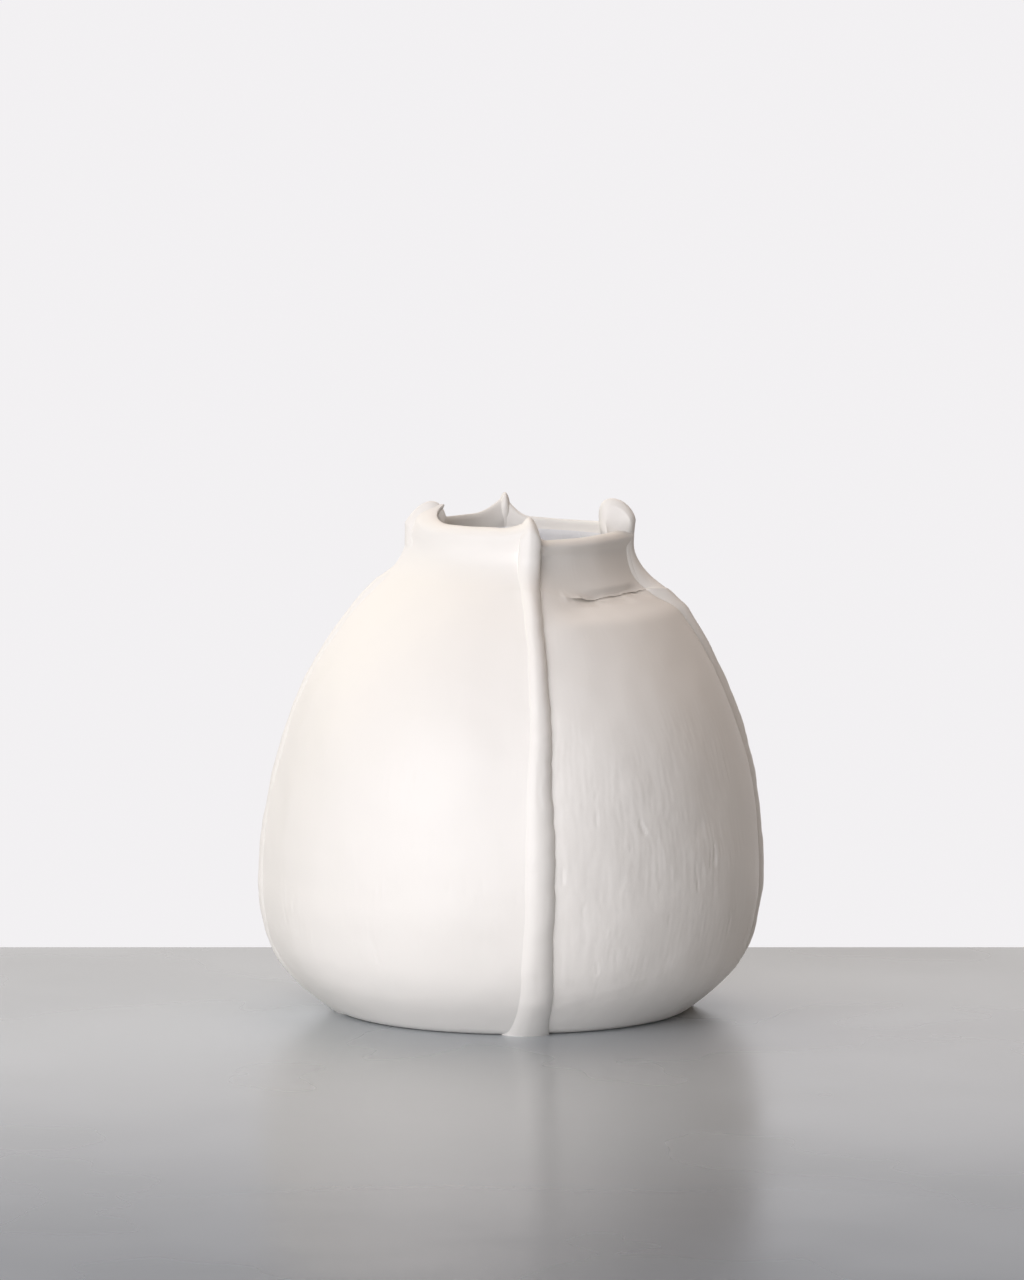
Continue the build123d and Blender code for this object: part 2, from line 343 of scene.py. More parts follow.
class Shape(Graph):
    """A tree that grows one piece from named sizes."""

    def __init__(self, name, sizes):
        tree = bpy.data.node_groups.new(name, "GeometryNodeTree")
        super().__init__(tree)
        for size in sizes:
            tree.interface.new_socket(name=size, in_out="INPUT", socket_type="NodeSocketFloat")
        tree.interface.new_socket(name="Material", in_out="INPUT", socket_type="NodeSocketMaterial")
        tree.interface.new_socket(name="Geometry", in_out="OUTPUT", socket_type="NodeSocketGeometry")
        given = tree.nodes.new("NodeGroupInput")
        self.size = {size: Wire(self, given.outputs[size]) for size in sizes}
        self.material = Wire(self, given.outputs["Material"])

    def grid(self, deep, across, up):
        """Closed block of faces, and where each of its points lies: 0 to 1 deep, across and up."""
        sockets = {"Size": (1, 1, 1), "Vertices X": deep, "Vertices Y": across, "Vertices Z": up}
        block = self.add("GeometryNodeMeshCube", None, sockets)
        shares = [share + 0.5 for share in self.parts(self.add("GeometryNodeInputPosition"))]
        return block, shares

    def wall_height(self, up):
        """Height on the wall for a share of the way up, even along the two half ellipses."""
        size = self.size
        lower = self.math("SINE", size["Lower angle"] * (1 - self.ramp(up, 0, 0.3)))
        upper = self.math("SINE", size["Upper angle"] * self.ramp(up, 0.3, 1))
        return size["Belly height"] - size["Lower reach"] * lower + size["Upper reach"] * upper

    def wall_radius(self, height, inset):
        """Radius of the body at a seam, inset from its outside."""
        size = self.size
        rise = height - size["Belly height"]
        low = self.math("MINIMUM", rise, 0) / (size["Lower reach"] - inset)
        high = self.math("MAXIMUM", rise, 0) / (size["Upper reach"] - inset)
        share = self.math("MAXIMUM", 1 - low * low - high * high, 0)
        return (size["Belly radius"] - inset) * self.math("SQRT", share)

    def cove_radius(self, height, foot, inset, run):
        """Radius of the collar at a seam, drawn in from a foot to the waist over a run."""
        size = self.size
        share = 1 - self.ramp(height, size["Joint height"], size["Joint height"] + run)
        waist = size["Waist radius"] - inset
        return waist + (foot - waist) * share * share

    def plan_share(self, height, turn):
        """How far the plan is drawn in towards four flat sides, for a turn within a quarter."""
        size = self.size
        start = size["Belly height"] * 0.6 + size["Joint height"] * 0.4
        body = self.ramp(height, start, size["Joint height"])
        neck = self.ramp(height, size["Joint height"], size["Rim height"])
        squarer = size["Lip flatness"] - size["Joint flatness"]
        flat = size["Joint flatness"] * body * body + squarer * neck
        side = turn / (math.pi / 4) - 1
        return 1 - flat * CROWN * (1 - side * side)

    def from_strips(self, radius, turn, gap):
        """Distances of a point from the strips at the start and the end of its quarter."""
        return radius * self.math("SINE", turn) - gap, radius * self.math("COSINE", turn) - gap

    def drawn_up(self, radius, turn, gap, start, end, run):
        """Clay drawn up against the strips at the start and the end of a quarter."""
        from_start, from_end = self.from_strips(radius, turn, gap)
        first = self.size[start] * self.math("EXPONENT", -from_start / self.size[run])
        return first + self.size[end] * self.math("EXPONENT", -from_end / self.size[run])

    def hand_shaped(self, spot):
        """A point moved as the soft clay was pushed by hand, alike for all the pieces."""
        size = self.size
        x, y, z = self.parts(spot)
        slow = self.vector("SUBTRACT", self.noise(spot, SWINGS["push"], 1.0, "Color"), MIDDLE)
        dents = self.vector("SUBTRACT", self.noise(spot, SWINGS["dents"], 1.0, "Color"), MIDDLE)
        slow = self.vector("MULTIPLY", slow, self.point(size["Push"], size["Push"], 0.0))
        dents = self.vector("MULTIPLY", dents, self.point(size["Dents"], size["Dents"], 0.0))
        free = 0.25 + 0.75 * self.smooth(z, *ZONES["free"])
        push = self.vector("MULTIPLY", self.vector("ADD", slow, dents), self.point(free, free, 0.0))
        lean = size["Lean"] * (z - size["Belly height"])
        lean = lean + size["Foot lean"] * (1 - self.smooth(z, *ZONES["foot lean"]))
        full = size["Fullness"] * self.smooth(z, *ZONES["full"]) * (1 - self.smooth(z, *ZONES["full end"]))
        from_joint = self.math("ABSOLUTE", z - size["Joint height"])
        near_joint = 1 - self.ramp(from_joint, 0.0, size["Ragged run"])
        height = size["Ragged"] + size["Crease ragged"] * self.smooth(x - y, *PRESSED["side"])
        ragged = (self.noise(spot, SWINGS["ragged"], 2.0) - 0.5) * near_joint * height
        sag = size["Sag"] * self.smooth(x, *PRESSED["across"]) * self.smooth(-y, *PRESSED["ahead"])
        sag = sag * (1 - self.smooth(from_joint, 0.0, PRESSED["sag"]))
        wave = (self.noise(spot, SWINGS["wave"], 1.0) - 0.5) * size["Rim wave"]
        wave = wave * self.smooth(z, size["Waist height"], size["Rim height"])
        extra = self.point(lean + x * full, y * full, ragged + wave - sag)
        return self.vector("ADD", self.vector("ADD", spot, push), extra)

    def brush_relief(self, spot, deep, depth):
        """Depth of brush and tool strokes at a point: upright over the wall, level by the foot."""
        x, y, z = self.parts(spot)
        spread = self.size["Belly radius"] / self.math("SQRT", x * x + y * y)
        around = self.point(x * spread, y * spread, z * UPRIGHT_STRETCH)
        stir = self.vector("SUBTRACT", self.noise(spot, SWINGS["stir"], 2.0, "Color"), MIDDLE)
        around = self.vector("ADD", around, self.vector("MULTIPLY", stir, STIR_REACH))
        upright = self.noise(around, SWINGS["upright"], 3.0) - 0.5
        level = self.noise(self.vector("MULTIPLY", spot, LEVEL_STRETCH), SWINGS["level"], 3.0) - 0.5
        foot = 1 - self.smooth(z, *ZONES["level"])
        scratch = self.smooth(self.noise(around, SWINGS["scratch"], 2.0), 0.64, 0.69)
        scratch = scratch * self.smooth(z, *ZONES["scratch"]) * (1 - self.smooth(z, *ZONES["scratch end"]))
        lumps = self.noise(spot, SWINGS["lumps"], 2.0) - 0.5
        patch = 0.35 + 1.1 * self.smooth(self.noise(spot, SWINGS["patch"], 2.0), 0.38, 0.62)
        calm = patch * (1 - 0.6 * self.smooth(z, *ZONES["calm"]))
        strokes = STROKE_SHARES["upright"] * upright * (1 - foot) + STROKE_SHARES["level"] * level * foot
        strokes = strokes + STROKE_SHARES["lumps"] * lumps - STROKE_SHARES["scratch"] * scratch
        return depth * calm * strokes * self.smooth(deep, *OUTER_PART)

    def pressed_share(self, from_start, from_end):
        """How far the shoulder is pressed in, between the strips at the start and the end."""
        return self.smooth(from_start, *PRESSED["start"]) * self.smooth(from_end, *PRESSED["end"])

    def finish(self, block, spot, lip, relief=0.0, turn=0.0):
        """Shapes the points by hand, adds a relief, keeps the lip's share of glaze, and ends the tree."""
        spot = self.vector("ADD", self.hand_shaped(spot), self.turned(relief, turn, 0.0))
        placed = self.add("GeometryNodeSetPosition", None, {"Geometry": block, "Position": spot})
        kept = self.add(
            "GeometryNodeStoreNamedAttribute",
            {"data_type": "FLOAT", "domain": "POINT"},
            {"Geometry": placed, "Name": "lip", "Value": lip},
        )
        whole = self.add("GeometryNodeMergeByDistance", None, {"Geometry": kept, "Distance": MERGE_DISTANCE})
        soft = self.add("GeometryNodeSetShadeSmooth", None, {"Geometry": whole})
        coated = self.add("GeometryNodeSetMaterial", None, {"Geometry": soft, "Material": self.material})
        self.add("NodeGroupOutput", None, {"Geometry": coated})
        return self.tree

    def turned(self, radius, turn, height):
        """Point at a radius, a turn about the axis and a height."""
        return self.point(radius * self.math("COSINE", turn), radius * self.math("SINE", turn), height)


def wall_tree(sizes):
    """Wall panel between two seams, from the foot to the collar joint."""
    shape = Shape("wall_panel", sizes)
    size = shape.size
    detail = bpy.context.scene.vase_body
    block, (deep, across, up) = shape.grid(4, detail.columns, detail.rows)
    height = shape.wall_height(up)
    skin = shape.wall_radius(height, 0.0)
    half = size["Panel gap"]
    edge = shape.math("ARCSINE", half / skin)
    turn = edge + (QUARTER - 2 * edge) * across
    from_start, from_end = shape.from_strips(skin, turn, half)
    lift = shape.drawn_up(skin, turn, half, *INPUTS["lifts"])
    under = shape.ramp(height, size["Foot rounding"], 0.0)
    roll = size["Foot rounding"] * (1 - shape.math("SQRT", shape.math("MAXIMUM", 1 - under * under, 0.0)))
    to_joint = shape.smooth(height, size["Joint height"] - PRESSED["below"], size["Joint height"])
    pressed = shape.pressed_share(from_start, from_end)
    outer = skin + lift - roll - size["Crease depth"] * to_joint * pressed
    inner = shape.wall_radius(height, size["Wall thickness"])
    plan = shape.plan_share(height, turn)
    radius = (inner + (outer - inner) * deep) * plan
    spot = shape.turned(radius, turn + size["Turn"], height)
    relief = shape.brush_relief(spot, deep, size["Stroke depth"])
    relief = relief * (1 - to_joint) * shape.smooth(height, 0.0, 0.006)
    return shape.finish(block, spot, 0.0, relief, turn + size["Turn"])


def collar_tree(sizes):
    """Collar panel between two seams, from the shoulder joint to the lip."""
    shape = Shape("collar_panel", sizes)
    size = shape.size
    joint = size["Joint height"]
    rim = size["Rim height"]
    block, (deep, across, up) = shape.grid(9, 120, 64)
    half = size["Panel gap"] * 0.5
    ring = size["Waist radius"]
    edge = shape.math("ARCSINE", half / ring)
    turn = edge + (QUARTER - 2 * edge) * across
    from_start, from_end = shape.from_strips(ring, turn, half)
    start = 1 - shape.ramp(from_start, 0.0, size["Start swoop run"])
    end = 1 - shape.ramp(from_end, 0.0, size["End swoop run"])
    top = rim + size["Rim lift"] + size["Start swoop rise"] * start * start
    top = top + size["End swoop rise"] * end * end
    height = joint + (top - joint) * up
    pressed = shape.pressed_share(from_start, from_end)
    shoulder = size["Shoulder radius"]
    foot = shoulder - size["Step"] * pressed
    inner_foot = shape.wall_radius(joint, size["Wall thickness"])
    bead = shape.smooth(height, top - size["Lip run"], top - LIP["full"])
    tuck = 1 - shape.smooth(height, joint, joint + PRESSED["above"])
    low_lift = shape.drawn_up(shoulder, turn, size["Panel gap"], *INPUTS["lifts"])
    lift = shape.drawn_up(ring, turn, half, *INPUTS["neck_lifts"])
    lift = low_lift + (lift - low_lift) * shape.smooth(height, joint, size["Waist height"])
    outer = shape.cove_radius(height, foot, 0.0, size["Cove run"]) + size["Lip flare"] * bead + lift
    outer = outer - PRESSED["collar"] * size["Crease depth"] * tuck * pressed
    run = size["Waist height"] - joint
    inner = shape.cove_radius(height, inner_foot, size["Collar thickness"], run)
    inner = inner + LIP["inside"] * size["Lip flare"] * bead
    round_share = shape.ramp(height, top - LIP["round"], top)
    shrink = shape.math("SQRT", shape.math("MAXIMUM", 1 - round_share * round_share, 0.012))
    through = LIP["pivot"] + (deep - LIP["pivot"]) * shrink
    leaning = shape.ramp(height, rim - EAR["low"], rim + EAR["high"]) ** 1.3
    leaning = leaning * (size["Start fold"] * start ** 1.5 + size["End fold"] * end ** 1.5)
    radius = (inner + (outer - inner) * through) * shape.plan_share(height, turn) - leaning
    spot = shape.turned(radius, turn + size["Turn"], height)
    relief = shape.brush_relief(spot, deep, size["Stroke depth"]) * (1 - bead) * STROKE_SHARES["collar"]
    inside = 1 - shape.smooth(deep, 0.05, 0.4)
    lip = shape.math("MAXIMUM", shape.smooth(height, top - LIP["glazed"], top - LIP["full"]), inside)
    return shape.finish(block, spot, lip, relief, turn + size["Turn"])


def strip_tree(sizes):
    """Pinched strip along the seam of its turn, from the foot to the top of its ear."""
    shape = Shape("seam_strip", sizes)
    size = shape.size
    joint = size["Joint height"]
    rim = size["Rim height"]
    block, (deep, across, up) = shape.grid(13, 31, 340)
    swing = (across - 0.5) * math.pi
    side = shape.math("SINE", swing)
    second_side = shape.smooth(side, -0.3, 0.3)
    edge = shape.point(size["Turn"], 0.0, up * 0.22)
    torn = (shape.noise(edge, SWINGS["torn"], 3.0) - 0.5) * size["Torn"] * shape.smooth(up, 0.0, 0.1)
    flank = size["First flank"] + (size["Second flank"] - size["First flank"]) * second_side
    half = size["First width"] + (size["Second width"] + torn - size["First width"]) * second_side
    bell = shape.math("MAXIMUM", shape.math("COSINE", swing), 0.0) ** flank
    fall = 1 - bell
    # Ridge over the wall
    ear_up = shape.ramp(up, size["Wall share"], 1.0)
    wall_height = shape.wall_height(shape.ramp(up, 0.0, size["Wall share"]))
    skin = shape.wall_radius(wall_height, 0.0)
    along = shape.point(size["Turn"] * 3.0, 0.0, wall_height)
    uneven = (shape.noise(along, SWINGS["uneven"], 2.0) - 0.5) * size["Uneven"]
    proud = size["Proud"] * (1 - size["Taper"] * shape.math("EXPONENT", wall_height / -size["Taper run"]))
    near = (wall_height - joint) / size["Swell run"]
    swell = size["Swell"] * shape.math("EXPONENT", -(near * near))
    crest = shape.wall_radius(wall_height, -proud) + uneven + swell
    sunk = skin - size["Sunk"]
    wall_inner = shape.wall_radius(wall_height, size["Wall thickness"])
    ridge = sunk + (crest - sunk) * bell
    start_radius = wall_inner + (ridge - wall_inner) * deep
    # Ear: a cove from the ridge's end up to an outline of four handles
    rest = 1 - deep
    first = rest * rest * rest
    second = 3 * rest * rest * deep
    third = 3 * rest * deep * deep
    fourth = deep * deep * deep
    outline = first * size["Root radius"] + second * size["Tip radius"]
    outline = outline + third * size["Handle radius"] + fourth * size["Outer radius"]
    rise = (0.25 * first + second) * size["Inner rise"] + (third + 0.15 * fourth) * size["Outer rise"]
    ear_radius = outline + EAR["round"] * fall * (1 - 2 * deep)
    ear_height = rim + rise - EAR["drop"] * fall
    height = wall_height + (ear_height - wall_height) * ear_up
    cove = 1 - shape.ramp(height, joint, joint + EAR["cove"] - EAR["less"] * deep)
    radius = ear_radius + (start_radius - ear_radius) * cove * cove
    in_ear = shape.ramp(ear_up, 0.0, 0.01)
    radius = start_radius + (radius - start_radius) * in_ear
    thin = 1 - EAR["thinner"] * shape.smooth(height, rim - EAR["low"], rim + EAR["high"])
    more = SPREAD["more"] * shape.math("EXPONENT", height / -SPREAD["run"])
    spread = SPREAD["foot"] - SPREAD["less"] * shape.smooth(height, *ZONES["narrow"]) + more
    above = shape.smooth(height, rim - 0.005, rim + 0.004)
    fin = shape.smooth(height, joint - 0.004, size["Waist height"]) * (1 - above)
    bent = size["Bend"] * rest * above + size["Set back"] * deep * fin
    stray = (shape.noise(along, SWINGS["stray"], 2.0) - 0.5) * size["Stray"]
    stray = stray * shape.smooth(wall_height, 0.0, 0.02) * (1 - ear_up)
    at_neck = shape.smooth(height, joint, rim)
    beside = size["Shift"] * (1 - 0.5 * shape.smooth(height, *ZONES["beside"]) - 0.5 * at_neck)
    aside = half * side * thin * spread + bent * in_ear + stray + beside
    x = radius * shape.math("COSINE", size["Turn"]) - aside * shape.math("SINE", size["Turn"])
    y = radius * shape.math("SINE", size["Turn"]) + aside * shape.math("COSINE", size["Turn"])
    spot = shape.point(x, y, height)
    relief = shape.brush_relief(spot, deep, size["Stroke depth"]) * bell
    lip = shape.smooth(height, rim - 0.005, rim + 0.001)
    return shape.finish(block, spot, lip, relief, size["Turn"])


def glaze_tree(sizes):
    """Coat of glaze: over the floor, round the coil in its corner, and up the inside."""
    shape = Shape("glaze_liner", sizes)
    size = shape.size
    tube = shape.add(
        "GeometryNodeMeshCylinder",
        {"fill_type": "NONE"},
        {"Vertices": 144, "Side Segments": 300, "Radius": 1.0, "Depth": 2.0},
    )
    x, y, z = shape.parts(shape.add("GeometryNodeInputPosition"))
    way = 1 - shape.math("ABSOLUTE", z)
    coat = shape.ramp(z, 0.02, -0.02)
    inset = size["Thickness"] * coat
    turn = shape.math("ARCTAN2", y, x)
    quarter = shape.math("FLOORED_MODULO", turn, QUARTER)
    floor = shape.ramp(way, 0.0, 0.22)
    bend = shape.ramp(way, 0.22, 0.34) * QUARTER
    climb = shape.ramp(way, 0.34, 0.84)
    neck = shape.ramp(way, 0.84, 1.0)
    coil_top = size["Floor height"] + size["Coil leg"]
    joint = size["Joint height"]
    top = size["Rim height"] - size["Below rim"]
    height = size["Floor height"] + inset * (1 - climb)
    height = height + size["Coil leg"] * (1 - shape.math("COSINE", bend))
    height = height + (joint - coil_top) * climb + (top - joint) * neck
    level = shape.math("MAXIMUM", height, coil_top)
    start = shape.wall_radius(coil_top, size["Wall thickness"])
    wall = shape.wall_radius(shape.math("MINIMUM", level, joint), size["Wall thickness"])
    foot = shape.wall_radius(joint, size["Wall thickness"])
    cove = shape.cove_radius(level, foot, size["Collar thickness"], size["Waist height"] - joint)
    in_neck = shape.ramp(level, joint - 0.0001, joint)
    side = wall + (cove - wall) * in_neck
    flat = (start - size["Coil leg"]) * floor + size["Coil leg"] * shape.math("SINE", bend)
    radius = (flat + side - start) - inset * shape.ramp(way, 0.2, 0.3)
    radius = shape.math("MAXIMUM", radius, 0.0) * shape.plan_share(height, quarter)
    spot = shape.turned(radius, turn, height)
    return shape.finish(tube, spot, 1.0)


def grown(name, tree, values, material):
    """Plain mesh object of what a tree makes from these sizes, standing for the node of its name."""
    blank = bpy.data.meshes.new(name + "_blank")
    piece = bpy.data.objects.new(name + "_clay", blank)
    bpy.context.scene.collection.objects.link(piece)
    modifier = piece.modifiers.new("shape", "NODES")
    modifier.node_group = tree
    for item in tree.interface.items_tree:
        if item.in_out != "INPUT":
            continue
        modifier[item.identifier] = material if item.name == "Material" else values[item.name]
    graph = bpy.context.evaluated_depsgraph_get()
    mesh = bpy.data.meshes.new_from_object(piece.evaluated_get(graph))
    mesh.name = name + "_clay"
    piece.modifiers.clear()
    piece.data = mesh
    bpy.data.meshes.remove(blank)
    if not mesh.polygons:
        raise RuntimeError("nothing was grown for " + name)
    mesh.set_sharp_from_angle(angle=SHARP_ANGLE)
    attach(piece, "root")
    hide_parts(name)
    return piece


def new_material(name):
    """Material without nodes, its graph, and the place of a point on the object."""
    material = bpy.data.materials.new(name)
    material.use_nodes = True
    graph = Graph(material.node_tree)
    return material, graph, graph.add("ShaderNodeTexCoord", None, None, "Object")


def coat_material(graph, color, roughness, bumps, shine):
    """Ends a material with one Principled shader. bumps: their strength, distance and height."""
    normal = graph.add("ShaderNodeBump", None, dict(zip(("Strength", "Distance", "Height"), bumps)))
    sockets = {"Base Color": color, "Roughness": roughness, "Normal": normal, "Specular IOR Level": shine}
    shader = graph.add("ShaderNodeBsdfPrincipled", None, sockets)
    graph.add("ShaderNodeOutputMaterial", None, {"Surface": shader})


def slip_material():
    """Matte cream slip, brushed on upright, with a thin cool glaze over the lip and the ears."""
    look = bpy.context.scene.vase_finish
    material, graph, spot = new_material("slip_clay")
    lip = graph.add("ShaderNodeAttribute", {"attribute_name": "lip"}, None, "Fac")
    blotch = graph.smooth(graph.noise(spot, SWINGS["blotch"], 3.0), 0.35, 0.7)
    x, y, z = graph.parts(spot)
    spread = 0.09 / graph.math("MAXIMUM", graph.math("SQRT", x * x + y * y), 0.03)
    upright = graph.point(x * spread, y * spread, z * 0.1)
    streak = graph.noise(upright, SWINGS["streak"], 4.0)
    grain = graph.noise(spot, SWINGS["grain"], 2.0)
    specks = graph.smooth(graph.noise(spot, SWINGS["specks"], 1.0), 0.70, 0.76)
    cream = graph.blend(blotch, (*look.slip, 1), (*look.slip_warm, 1))
    cream = graph.blend(0.25 * graph.smooth(streak, 0.45, 0.75), cream, (*look.slip_deep, 1))
    cream = graph.blend(0.2 * specks, cream, (*look.slip_deep, 1))
    color = graph.blend(lip, cream, (*look.glaze, 1))
    roughness = 0.80 + 0.16 * (streak - 0.5) - 0.42 * lip
    height = (1.4 * streak + 0.5 * grain) * (1 - 0.75 * lip)
    coat_material(graph, color, roughness, (0.9, 0.0013, height), 0.2)
    return material


def glaze_material():
    """Cool white glaze, glossy and a little uneven."""
    look = bpy.context.scene.vase_finish
    material, graph, spot = new_material("inner_glaze")
    pool = graph.smooth(graph.noise(spot, SWINGS["pool"], 2.0), 0.35, 0.7)
    color = graph.blend(pool, (*look.glaze, 1), (*look.glaze_deep, 1))
    roughness = 0.22 + 0.10 * graph.noise(spot, SWINGS["gloss"], 2.0)
    height = graph.noise(spot, SWINGS["ripple"], 1.0)
    coat_material(graph, color, roughness, (0.3, 0.0005, height), 0.5)
    return material


def bare_material():
    """Bare fired clay, warm and dry, with fine grog."""
    look = bpy.context.scene.vase_finish
    material, graph, spot = new_material("bare_clay")
    cloud = graph.smooth(graph.noise(spot, SWINGS["cloud"], 4.0), 0.3, 0.7)
    grog = graph.smooth(graph.noise(spot, SWINGS["grog"], 1.0), 0.62, 0.70)
    color = graph.blend(cloud, (*look.bare, 1), (*look.bare_deep, 1))
    color = graph.blend(0.5 * grog, color, (*look.grog, 1))
    height = graph.noise(spot, SWINGS["tooth"], 3.0) - 0.6 * grog
    coat_material(graph, color, 0.78 + 0.1 * cloud, (0.6, 0.0003, height), 0.3)
    return material


def length(name, description, default):
    """Property for a size in metres."""
    return FloatProperty(name=name, description=description, default=default, unit="LENGTH")


def factor(name, description, default):
    """Property for a share or a strength without a unit."""
    return FloatProperty(name=name, description=description, default=default, subtype="FACTOR")


def watts(name, description, default):
    """Property for the power of a light."""
    return FloatProperty(name=name, description=description, default=default, unit="POWER")


def tint(name, description, default):
    """Property for a colour."""
    return FloatVectorProperty(name=name, description=description, default=default, subtype="COLOR")


class VaseBody(bpy.types.PropertyGroup):
    """Sizes of the swollen body."""

    belly_radius: length("Belly radius", "Radius of the wall at its widest", 0.0965)
    belly_height: length("Belly height", "Height of the widest place", 0.052)
    foot_radius: length("Foot radius", "Radius of the wall on the table", 0.0675)
    shoulder_radius: length("Shoulder radius", "Radius of the wall at the collar joint", 0.051)
    shoulder_rise: length("Shoulder rise", "Height of the collar joint over the belly", 0.118)
    wall_thickness: length("Wall thickness", "Thickness of the wall panels", 0.0055)
    foot_rounding: length("Foot rounding", "Roll of the wall's lower edge", 0.0025)
    joint_flatness: factor("Joint flatness", "How square the plan is at the collar joint", 0.35)
    columns: IntProperty(name="Columns", description="Points across a wall panel", default=220)
    rows: IntProperty(name="Rows", description="Points up a wall panel", default=200)


class VaseCollar(bpy.types.PropertyGroup):
    """Sizes of the collar."""

    cove_rise: length("Cove rise", "Height of the waist over the collar joint", 0.011)
    lip_rise: length("Lip rise", "Height of the rim over the waist", 0.009)
    waist_radius: length("Waist radius", "Outer radius of the collar at its waist", 0.041)
    lip_flare: length("Lip flare", "How far the lip stands out from the waist", 0.0024)
    thickness: length("Thickness", "Thickness of the collar panels", 0.0045)
    lip_flatness: factor("Lip flatness", "How square the plan is at the lip", 0.55)


class VaseSeams(bpy.types.PropertyGroup):
    """Sizes of the seam strips."""

    gap: length("Gap", "Gap between two panels under a strip", 0.0028)
    proud: length("Proud", "How far a strip stands out from the wall", 0.0029)
    sunk: length("Sunk", "How far a strip's edges are sunk in the wall", 0.0012)
    torn: length("Torn", "Raggedness of a strip's second edge", 0.0016)
    uneven: length("Uneven", "Rise and fall of a strip's crest", 0.0016)
    stray: length("Stray", "How far a strip strays from its seam", 0.0030)
    taper_run: length("Taper run", "Height over which a strip runs out by the foot", 0.014)
    swell_run: length("Swell run", "Height over which a strip swells under the collar", 0.010)
    wall_share: factor("Wall share", "Share of a strip's points on the wall, the rest on its ear", 0.76)
    stroke_depth: length("Stroke depth", "Depth of the finger marks on a strip", 0.0001)


class VaseHand(bpy.types.PropertyGroup):
    """How far the soft clay was pushed by hand."""

    push: length("Push", "Reach of the slow bulges", 0.0034)
    dents: length("Dents", "Reach of the finger dents", 0.0013)
    lean: factor("Lean", "Lean to the right for each metre up", 0.0145)
    foot_lean: length("Foot lean", "How far the foot is set to the right", 0.0007)
    fullness: factor("Fullness", "How much wider the low body is", 0.021)
    ragged: length("Ragged", "Unevenness of the collar joint", 0.0004)
    crease_ragged: length("Crease ragged", "More of it along the crease", 0.0032)
    ragged_run: length("Ragged run", "Height over which the joint is uneven", 0.004)
    sag: length("Sag", "How far the front-right shoulder hangs down", 0.0054)
    rim_wave: length("Rim wave", "Rise and fall of the rim", 0.0022)


class VaseGlaze(bpy.types.PropertyGroup):
    """Sizes of the coat of glaze."""

    thickness: length("Thickness", "Thickness of the coat", 0.0008)
    floor_height: length("Floor height", "Top of the base slab", 0.0065)
    coil_leg: length("Coil leg", "Leg of the coil in the corner", 0.009)
    below_rim: length("Below rim", "How far the coat stops below the rim", 0.0042)


class VaseFinish(bpy.types.PropertyGroup):
    """Colours of the clay and the glaze."""

    slip: tint("Slip", "Cream slip", (0.86, 0.82, 0.785))
    slip_warm: tint("Warm slip", "Slip where it is thin", (0.85, 0.80, 0.76))
    slip_deep: tint("Deep slip", "Slip in the strokes", (0.76, 0.70, 0.64))
    glaze: tint("Glaze", "Cool white glaze", (0.95, 0.945, 0.95))
    glaze_deep: tint("Deep glaze", "Glaze where it pools", (0.90, 0.90, 0.91))
    bare: tint("Bare clay", "Fired clay under the foot", (0.82, 0.77, 0.70))
    bare_deep: tint("Deep bare clay", "Darker clouds in the clay", (0.74, 0.67, 0.59))
    grog: tint("Grog", "Fine grains in the clay", (0.60, 0.50, 0.42))


class VaseStage(bpy.types.PropertyGroup):
    """Floor and light."""

    floor: tint("Floor", "Colour of the floor", (0.44, 0.465, 0.485))
    floor_cloud: tint("Floor clouds", "Darker clouds in the floor", (0.32, 0.345, 0.365))
    # Painted shade: the floor is coloured darker towards the camera, where less light falls on it
    floor_near_painted_shade: tint("Painted near-floor shade", "Colour of the floor towards the camera", (0.03, 0.04, 0.055))
    backdrop: tint("Backdrop", "Colour behind the vase", (0.89, 0.875, 0.89))
    ambient_color: tint("Ambient colour", "Colour of the light from all round", (1.0, 0.68, 0.46))
    ambient: factor("Ambient", "Strength of the light from all round", 0.02)
    window: watts("Window", "Power of the large light on the left", 31.0)
    side: watts("Side light", "Power of the light behind on the left", 7.0)
    top: watts("Top light", "Power of the warm light overhead", 12.0)
    bounce: watts("Bounce", "Power of the warm light on the right", 0.8)


def grow_set(start, make_tree, pieces):
    """Grows like pieces of slip-coated clay, each from its own sizes, by one tree."""
    tree = make_tree(list(pieces.values())[0])
    material = bpy.data.materials.get("slip_clay") or slip_material()
    for place, values in pieces.items():
        grown(start + place, tree, values, material)


class VASE_OT_wall_panels(bpy.types.Operator):
    """Grows the four wall panels"""

    bl_idname = "vase.wall_panels"
    bl_label = "Wall panels"

    def execute(self, context):
        pieces = {place: row_sizes(panel, WALL_ENTRIES) for place, panel in PANELS.items()}
        grow_set("wall_panel_", wall_tree, pieces)
        return {"FINISHED"}


class VASE_OT_collar_panels(bpy.types.Operator):
    """Grows the four collar panels"""

    bl_idname = "vase.collar_panels"
    bl_label = "Collar panels"

    def execute(self, context):
        pieces = {place: row_sizes(panel, list(panel)[1:]) for place, panel in PANELS.items()}
        grow_set("collar_panel_", collar_tree, pieces)
        return {"FINISHED"}


class VASE_OT_seam_strips(bpy.types.Operator):
    """Grows the four seam strips with their ears"""

    bl_idname = "vase.seam_strips"
    bl_label = "Seam strips"

    def execute(self, context):
        pieces = {place: row_sizes(ear, list(ear)[1:]) for place, ear in EARS.items()}
        for values in pieces.values():
            values.update(sizes_of(context.scene.vase_seams))
        grow_set("seam_strip_", strip_tree, pieces)
        return {"FINISHED"}


class VASE_OT_glaze_coat(bpy.types.Operator):
    """Grows the coat of glaze inside"""

    bl_idname = "vase.glaze_coat"
    bl_label = "Glaze coat"

    def execute(self, context):
        values = {**body_sizes(), **sizes_of(context.scene.vase_glaze)}
        grown("glaze_liner", glaze_tree(values), values, glaze_material())
        return {"FINISHED"}


